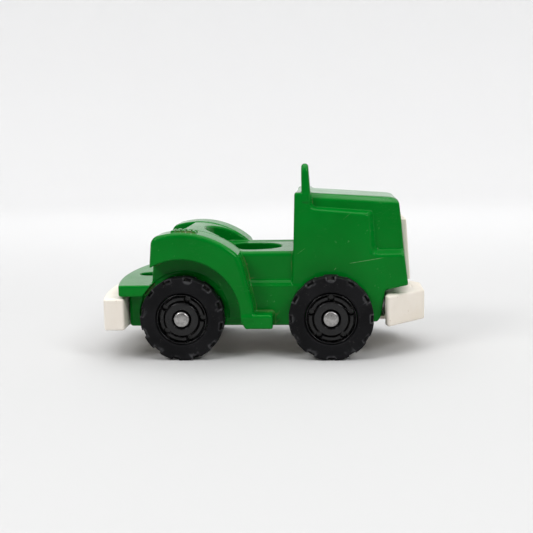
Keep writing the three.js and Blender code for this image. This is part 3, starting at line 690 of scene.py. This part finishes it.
def screw(x, y, z):
    """A cross-headed screw whose head points down, with z = 0 where the head meets the cup."""
    away = np.hypot(x, y)
    head = both(away - SCREW["head"], between(z, -SCREW["thick"], 0), 0.4)
    shank = both(away - SCREW["shank"], between(z, -0.5, SCREW["long"]), 0.5)
    slot, reach = SCREW["slot"], SCREW["reach"]
    one_way = both(np.abs(x) - slot, np.abs(y) - reach)
    other_way = both(np.abs(y) - slot, np.abs(x) - reach)
    return cut(join(head, shank, 0.1), both(np.minimum(one_way, other_way), z + SCREW["deep"]), 0.1)


# ------------------------------------------------------------------ materials


def node(tree, kind, inputs=None, **settings):
    """A shader node, with its settings and with values or links for its inputs."""
    made = tree.nodes.new("ShaderNode" + kind)
    for title, value in settings.items():
        setattr(made, title, value)
    for title, value in (inputs or {}).items():
        socket = made.inputs[title]
        if isinstance(value, bpy.types.NodeSocket):
            tree.links.new(value, socket)
        else:
            socket.default_value = value
    return made


def place_of(tree, stretch=(1, 1, 1), turn=(0, 0, 0)):
    """Where a point lies on its object, in metres."""
    where = node(tree, "TexCoord").outputs["Object"]
    mapped = node(tree, "Mapping", {"Vector": where, "Scale": stretch, "Rotation": turn})
    return mapped.outputs["Vector"]


def noise(tree, scale, detail=3.0, stretch=(1, 1, 1), turn=(0, 0, 0)):
    where = place_of(tree, stretch, turn)
    inputs = {"Vector": where, "Scale": scale, "Detail": detail, "Roughness": 0.55}
    return node(tree, "TexNoise", inputs).outputs["Fac"]


def ramp(tree, value, low, high, bottom=0.0, top=1.0):
    """A smooth step from one value to another."""
    inputs = {"Value": value, "From Min": low, "From Max": high, "To Min": bottom, "To Max": top}
    return node(tree, "MapRange", inputs, interpolation_type="SMOOTHSTEP").outputs["Result"]


def clouds(tree, scale, detail, low, high, bottom=0.0, top=1.0):
    """Soft patches of noise between two values."""
    return ramp(tree, noise(tree, scale, detail), low, high, bottom, top)


def maths(tree, operation, *values):
    return node(tree, "Math", dict(enumerate(values)), operation=operation).outputs[0]


def times(tree, first, second):
    return maths(tree, "MULTIPLY", first, second)


def most(tree, first, second):
    return maths(tree, "MAXIMUM", first, second)


def rgb(r, g, b):
    return (r, g, b, 1)


def blend(tree, amount, first, second):
    """Two colours mixed. The sockets go by number because the node has several of each name."""
    made = tree.nodes.new("ShaderNodeMix")
    made.data_type = "RGBA"
    for number, value in ((0, amount), (6, first), (7, second)):
        if isinstance(value, bpy.types.NodeSocket):
            tree.links.new(value, made.inputs[number])
        else:
            made.inputs[number].default_value = value
    return made.outputs[2]


def laid_over(tree, tone, amount, strength, colour):
    """A colour laid over another one."""
    return blend(tree, times(tree, amount, strength), tone, rgb(*colour))


def attribute(tree, title):
    return node(tree, "Attribute", attribute_name=title).outputs["Fac"]


def broken(tree, title, low, high, patches):
    """Where the surface is creased or proud, in patches of noise."""
    return times(tree, ramp(tree, attribute(tree, title), low, high), clouds(tree, *patches))


def scratches(tree, scale, turn, thin=0.012):
    """Thin marks that run roughly one way, and fade in and out."""
    away = maths(tree, "SUBTRACT", noise(tree, scale, 1.0, (1, 1, 9), turn), 0.5)
    line = ramp(tree, maths(tree, "ABSOLUTE", away), 0.0, thin, 1.0, 0.0)
    patches = ramp(tree, noise(tree, scale * 0.35, 2.0, (1, 1, 1), turn), 0.56, 0.68)
    return times(tree, line, patches)


def side_mark(tree, start, end, half):
    """A fine straight mark on the right-hand side, between two (x, z) points in millimetres."""
    where = node(tree, "TexCoord").outputs["Object"]
    run = Vector((end[0] - start[0], 0, end[1] - start[1]))
    ahead = run.normalized()
    across = Vector((-ahead.z, 0, ahead.x))
    origin = DATUM + Vector((start[0], 0, start[1])) * MM

    def along(direction):
        dotted = node(tree, "VectorMath", {0: where, 1: direction}, operation="DOT_PRODUCT")
        return maths(tree, "SUBTRACT", dotted.outputs["Value"], origin.dot(direction))

    length = run.length * MM
    u = along(ahead)
    inside = times(tree, ramp(tree, u, 0, 0.1 * length), ramp(tree, u, 0.8 * length, length, 1, 0))
    thin = ramp(tree, maths(tree, "ABSOLUTE", along(across)), 0.3 * half * MM, half * MM, 1, 0)
    y = node(tree, "SeparateXYZ", {"Vector": where}).outputs["Y"]
    right = ramp(tree, y, (0.2 - SIDE_Y) * MM, (0.8 - SIDE_Y) * MM, 1, 0)
    uneven = times(tree, right, clouds(tree, 900, 2, 0.35, 0.55, 0.35, 1.0))
    return times(tree, times(tree, inside, thin), uneven)


def shader_of(name):
    made = bpy.data.materials.new(name)
    made.use_nodes = True
    return made, made.node_tree, made.node_tree.nodes["Principled BSDF"]


def bumped(tree, shader, height, strength, distance):
    made = node(tree, "Bump", {"Height": height, "Strength": strength, "Distance": distance})
    tree.links.new(made.outputs["Normal"], shader.inputs["Normal"])


def drive(tree, shader, tone, dull):
    tree.links.new(tone, shader.inputs["Base Color"])
    tree.links.new(dull, shader.inputs["Roughness"])


# fine scratches on the cab's right-hand side: start and end as (x, z), half-width, strength
SIDE_MARKS = [
    ((69.0, 38.3), (84.0, 40.7), 0.17, 0.5), ((66.9, 56.5), (70.6, 59.7), 0.12, 0.3),
    ((48.0, 42.5), (51.5, 45.0), 0.12, 0.35), ((63.0, 35.5), (64.0, 36.6), 0.2, 0.4),
]


def green_plastic():
    """Glossy green, clouded, with fine scratches, worn edges and dust in its inner corners."""
    made, tree, shader = shader_of("green_plastic")
    shader.inputs["IOR"].default_value = 1.5
    shader.inputs["Specular IOR Level"].default_value = 0.1
    cloudy = clouds(tree, 38, 3, 0.3, 0.7)
    tone = blend(tree, cloudy, rgb(0, 0.152, 0.0118), rgb(0.0, 0.176, 0.0146))
    marks = most(tree, scratches(tree, 150, (0.4, 0.9, 0.2)), scratches(tree, 230, (1.3, -0.5, 0.8)))
    tone = laid_over(tree, tone, marks, 0.22, (0.05, 0.26, 0.07))
    nicks = times(tree, clouds(tree, 620, 2, 0.66, 0.72), clouds(tree, 70, 2, 0.5, 0.66))
    worn = broken(tree, "edge", 0.30, 0.62, (240, 3, 0.5, 0.72))
    tone = laid_over(tree, tone, most(tree, nicks, worn), 0.45, (0.09, 0.32, 0.10))
    dust = broken(tree, "crease", 0.18, 0.42, (130, 4, 0.38, 0.64))
    tone = laid_over(tree, tone, dust, 0.6, (0.17, 0.15, 0.07))
    for start, end, half, strength in SIDE_MARKS:
        line = side_mark(tree, start, end, half)
        tone = laid_over(tree, tone, line, strength, (0.24, 0.40, 0.20))
    dull = clouds(tree, 55, 4, 0.3, 0.72, 0.09, 0.18)
    dull = maths(tree, "ADD", dull, times(tree, most(tree, marks, dust), 0.22))
    drive(tree, shader, tone, dull)
    skin = maths(tree, "ADD", noise(tree, 900, 2), times(tree, noise(tree, 90, 2), 3.0))
    skin = maths(tree, "SUBTRACT", skin, times(tree, most(tree, marks, nicks), 1.4))
    bumped(tree, shader, skin, 0.35, 0.00006)
    return made


def white_plastic():
    """Ivory plastic, with specks, scratches, brown grime in its corners and rubbed edges."""
    made, tree, shader = shader_of("white_plastic")
    shader.inputs["IOR"].default_value = 1.47
    cloudy = clouds(tree, 45, 4, 0.3, 0.7)
    tone = blend(tree, cloudy, rgb(0.84, 0.78, 0.70), rgb(0.77, 0.70, 0.60))
    specks = clouds(tree, 700, 2, 0.70, 0.76)
    tone = laid_over(tree, tone, specks, 0.5, (0.40, 0.30, 0.20))
    marks = scratches(tree, 170, (0.2, 1.2, 0.5))
    tone = laid_over(tree, tone, marks, 0.35, (0.46, 0.36, 0.26))
    grime = broken(tree, "crease", 0.25, 0.6, (150, 4, 0.35, 0.62))
    tone = laid_over(tree, tone, grime, 0.55, (0.30, 0.19, 0.10))
    edge_tone = broken(tree, "edge", 0.28, 0.6, (190, 4, 0.5, 0.68))
    tone = laid_over(tree, tone, edge_tone, 0.3, (0.52, 0.40, 0.28))
    drive(tree, shader, tone, clouds(tree, 60, 4, 0.3, 0.7, 0.34, 0.5))
    skin = maths(tree, "ADD", noise(tree, 800, 2), times(tree, noise(tree, 80, 2), 3.0))
    skin = maths(tree, "SUBTRACT", skin, times(tree, marks, 1.5))
    bumped(tree, shader, skin, 0.4, 0.00006)
    return made


def tyre_rubber():
    """Matt black, with painted shade that darkens its notches and inner corners, dust specks, and grey
    edges that are partly rubbed wear and partly a painted highlight.
    """
    made, tree, shader = shader_of("tyre_black")
    shader.inputs["Specular IOR Level"].default_value = 0.1
    cloudy = clouds(tree, 90, 4, 0.35, 0.7)
    tone = blend(tree, cloudy, rgb(0.0045, 0.0045, 0.0052), rgb(0.008, 0.008, 0.009))
    # painted shade: the creases and notches are darkened towards black
    deep = ramp(tree, attribute(tree, "crease"), 0.1, 0.4)
    tone = blend(tree, deep, tone, rgb(0.0012, 0.0012, 0.0015))
    dust = times(tree, clouds(tree, 1400, 2, 0.62, 0.72), clouds(tree, 120, 3, 0.45, 0.7))
    settled = broken(tree, "crease", 0.3, 0.7, (260, 3, 0.5, 0.7))
    tone = laid_over(tree, tone, most(tree, dust, settled), 0.35, (0.13, 0.12, 0.11))
    # grey edges: partly rubbed wear, partly a painted highlight along the edges
    edge_tone = broken(tree, "edge", 0.34, 0.6, (330, 3, 0.36, 0.64))
    tone = laid_over(tree, tone, edge_tone, 0.5, (0.10, 0.10, 0.105))
    dull = clouds(tree, 170, 3, 0.3, 0.7, 0.5, 0.66)
    drive(tree, shader, tone, maths(tree, "SUBTRACT", dull, times(tree, edge_tone, 0.18)))
    grain = maths(tree, "ADD", noise(tree, 2600, 2), noise(tree, 500, 3))
    bumped(tree, shader, grain, 0.5, 0.00008)
    return made


def hub_plastic():
    """Glossier black, with scuffs and a little dust in the channel."""
    made, tree, shader = shader_of("hub_black")
    shader.inputs["Specular IOR Level"].default_value = 0.35
    cloudy = clouds(tree, 120, 3, 0.35, 0.7)
    tone = blend(tree, cloudy, rgb(0.0018, 0.0018, 0.0022), rgb(0.0035, 0.0035, 0.004))
    dust = broken(tree, "crease", 0.3, 0.65, (300, 3, 0.45, 0.7))
    tone = laid_over(tree, tone, dust, 0.3, (0.08, 0.075, 0.07))
    marks = scratches(tree, 260, (0.7, 0.3, 1.1), 0.02)
    dull = clouds(tree, 200, 3, 0.3, 0.7, 0.14, 0.28)
    drive(tree, shader, tone, maths(tree, "ADD", dull, times(tree, marks, 0.25)))
    bumped(tree, shader, maths(tree, "SUBTRACT", noise(tree, 700, 3), marks), 0.3, 0.00006)
    return made


def steel(name, tint, low, high):
    """Scuffed steel, between two roughnesses."""
    made, tree, shader = shader_of(name)
    shader.inputs["Metallic"].default_value = 1.0
    scuffed = clouds(tree, 900, 4, 0.42, 0.62)
    tone = blend(tree, scuffed, rgb(*tint), rgb(*[0.72 * c for c in tint]))
    drive(tree, shader, tone, clouds(tree, 1300, 3, 0.3, 0.7, low, high))
    cuts = times(tree, scratches(tree, 900, (0.5, 0.1, 0.9), 0.03), 0.8)
    bumped(tree, shader, maths(tree, "ADD", noise(tree, 1500, 3), cuts), 0.5, 0.00007)
    return made


# ------------------------------------------------------------------ assembly

AXLE_STEEL = steel("axle_steel", (0.43, 0.42, 0.41), 0.26, 0.42)
SCREW_STEEL = steel("screw_steel", (0.66, 0.66, 0.68), 0.28, 0.5)
GREEN, WHITE, RUBBER, HUB_BLACK = green_plastic(), white_plastic(), tyre_rubber(), hub_plastic()


def fit(piece, material, body_name, slot, *nodes):
    """Gives a piece its material and its body, and hides the CAD nodes it stands for. The slot is not used.
    """
    piece.data.materials.clear()
    piece.data.materials.append(material)
    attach(piece, body_name)
    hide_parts(*nodes)


def moulding(node_name, field, step, keep, material, slot):
    """Meshes a chassis piece on a grid of the given step, and keeps that share of its triangles."""
    low, high = extent(node_name)
    piece = sculpt(node_name + "_moulding", field, low, high, step, keep)
    fit(piece, material, "chassis", slot, node_name)


def copied(source, name, place):
    """A piece with a mesh of its own, copied and put in place."""
    mesh = source.copy()
    mesh.name = name
    mesh.transform(place)
    return linked(name, mesh)


def wheel_sets():
    """Two axles with a tyre and a hub at each end; the rear set has rolled on a little."""
    own = Matrix.Identity(4)

    def pattern(name, field, radius, face, step, keep):
        low, high = (-radius, WHEEL_INNER, -radius), (radius, face, radius)
        return sculpt("pattern_" + name, field, low, high, step, keep, own)

    pattern_tyre = pattern("tyre", tyre, WHEEL_RADIUS, WHEEL_OUTER, 0.3, 0.45)
    pattern_hub = pattern("hub", hub, HUB["radius"], HUB["face"], 0.28, 0.5)
    for end, centre, tyre_turn, hub_turn in (
        ("rear", REAR_AXLE, -10, -16), ("front", FRONT_AXLE, 0, 0),
    ):
        body_name = end + "_axle"
        middle = Matrix.Translation(centre)
        rod = lathe(end + "_rod", axle_profile(), 64, middle)
        fit(rod, AXLE_STEEL, body_name, "axle_steel", end + "_axle")
        for hand, around in (("left", 0.0), ("right", math.pi)):
            side = middle @ Matrix.Rotation(around, 4, "Z")
            turned = side @ Matrix.Rotation(math.radians(tyre_turn), 4, "Y")
            name = f"{end}_{hand}"
            ring = copied(pattern_tyre.data, name + "_rubber", turned)
            fit(ring, RUBBER, body_name, "tyre_black", name + "_tyre")
            turned = side @ Matrix.Rotation(math.radians(hub_turn), 4, "Y")
            disc = copied(pattern_hub.data, name + "_wheel", turned)
            fit(disc, HUB_BLACK, body_name, "hub_black", name + "_hub")
    bpy.data.objects.remove(pattern_tyre)
    bpy.data.objects.remove(pattern_hub)


def screws():
    """The four screws in the base, each turned its own way."""
    own = Matrix.Identity(4)
    head, thick = SCREW["head"], SCREW["thick"]
    low, high = (-head, -head, -thick), (head, head, SCREW["long"])
    pattern = sculpt("pattern_screw", screw, low, high, 0.17, 0.6, own)
    for i, (x, y) in enumerate(SCREWS):
        lift = BASE["bottom"] + SCREW_CUP["depth"]
        spot = Matrix.Translation(DATUM + Vector((x, y, lift)) * MM)
        turned = spot @ Matrix.Rotation(0.5 + 1.3 * i, 4, "Z")
        piece = copied(pattern.data, f"screw_{i + 1}", turned)
        fit(piece, SCREW_STEEL, "chassis", "screw_steel", f"base_screw_{i + 1}")
    bpy.data.objects.remove(pattern)


moulding("body_shell", body, 0.5, 0.45, GREEN, "body_green")
moulding("base_plate", base_plate, 0.5, 0.3, WHITE, "trim_white")
moulding("front_bumper", front_bumper, 0.4, 0.5, WHITE, "trim_white")
moulding("rear_bumper", rear_bumper, 0.4, 0.5, WHITE, "trim_white")
moulding("grille", grille, 0.3, 0.5, WHITE, "trim_white")
wheel_sets()
screws()


# ------------------------------------------------------------------ studio


def backdrop():
    """A wide round floor that curves up into a wall, in metres; its tone is painted shade, dark on the
    camera's side and greyer on the floor near the toy than on the far floor and wall.
    """
    floor, bend, top, sides = 0.85, 0.45, 1.5, 96
    profile = [(0.02, 0.0), (0.3, 0.0), (floor, 0.0)]
    for k in range(1, 13):
        a = math.pi / 2 * k / 12
        profile.append((floor + bend * math.sin(a), bend * (1 - math.cos(a))))
    profile.append((floor + bend, top))
    points, faces = [], []
    for radius, z in profile:
        for k in range(sides):
            a = 2 * math.pi * k / sides
            points.append((radius * math.cos(a), radius * math.sin(a), z))
    for row in range(len(profile) - 1):
        for k in range(sides):
            a, b = row * sides, row * sides + sides
            ahead = (k + 1) % sides
            faces.append((a + k, a + ahead, b + ahead, b + k))
    faces.append(tuple(range(sides))[::-1])
    mesh = bpy.data.meshes.new("backdrop")
    mesh.from_pydata(points, [], faces)
    mesh.polygons.foreach_set("use_smooth", np.ones(len(mesh.polygons), bool))
    mesh.update()
    made, tree, shader = shader_of("backdrop_paper")
    where = node(tree, "SeparateXYZ", {"Vector": place_of(tree)}).outputs["Y"]
    # painted shade: the floor near the toy is greyer than the far floor and wall
    far = blend(tree, ramp(tree, where, 0.0, 0.7), rgb(0.56, 0.56, 0.56), rgb(0.76, 0.76, 0.763))
    # painted shade: the backdrop is dark on the camera's side
    tone = blend(tree, ramp(tree, where, -0.8, -0.2), rgb(0.14, 0.14, 0.14), far)
    tree.links.new(tone, shader.inputs["Base Color"])
    shader.inputs["Roughness"].default_value = 0.75
    shader.inputs["Specular IOR Level"].default_value = 0.25
    mesh.materials.append(made)
    obj = linked("backdrop", mesh)


def softbox(name, place, target, size, power):
    """A round area light, in metres and watts."""
    lamp = bpy.data.lights.new(name, "AREA")
    lamp.shape = "DISK"
    lamp.size = size
    lamp.energy = power
    obj = bpy.data.objects.new(name, lamp)
    obj.location = place
    aim = Vector(target) - Vector(place)
    obj.rotation_euler = aim.to_track_quat("-Z", "Y").to_euler()
    bpy.context.scene.collection.objects.link(obj)


def world(strength):
    made = bpy.data.worlds.new("studio")
    made.use_nodes = True
    made.node_tree.nodes["Background"].inputs["Color"].default_value = (1, 1, 1, 1)
    made.node_tree.nodes["Background"].inputs["Strength"].default_value = strength
    bpy.context.scene.world = made


def camera():
    """Looks along +Y from the toy's right, a little down; turned and tilted by angles in radians."""
    yaw, pitch, roll = -0.081, 0.149, -0.02
    flat = math.cos(pitch)
    ahead = Vector((math.sin(yaw) * flat, math.cos(yaw) * flat, -math.sin(pitch)))
    level = Vector((math.cos(yaw), -math.sin(yaw), 0))
    above = level.cross(ahead)
    right = level * math.cos(roll) + above * math.sin(roll)
    up = above * math.cos(roll) - level * math.sin(roll)
    lens = bpy.data.cameras.new("camera")
    lens.sensor_width = 36
    lens.lens = 57.41
    lens.clip_start = 0.01
    obj = bpy.data.objects.new("camera", lens)
    place = Vector((0.03078, -0.37263, 0.0907))
    obj.matrix_world = Matrix.Translation(place) @ Matrix((right, up, -ahead)).transposed().to_4x4()
    bpy.context.scene.collection.objects.link(obj)
    bpy.context.scene.camera = obj


backdrop()
world(0.26)
softbox("top_light", (0.0, 0.15, 1.25), (0, 0, 0), 1.7, 16.5)
softbox("left_light", (-0.75, -0.65, 0.85), (0, 0, 0.03), 0.5, 6.6)
softbox("right_light", (0.75, -0.65, 0.85), (0, 0, 0.03), 0.5, 6.6)
camera()
bpy.context.scene.view_settings.view_transform = "Standard"
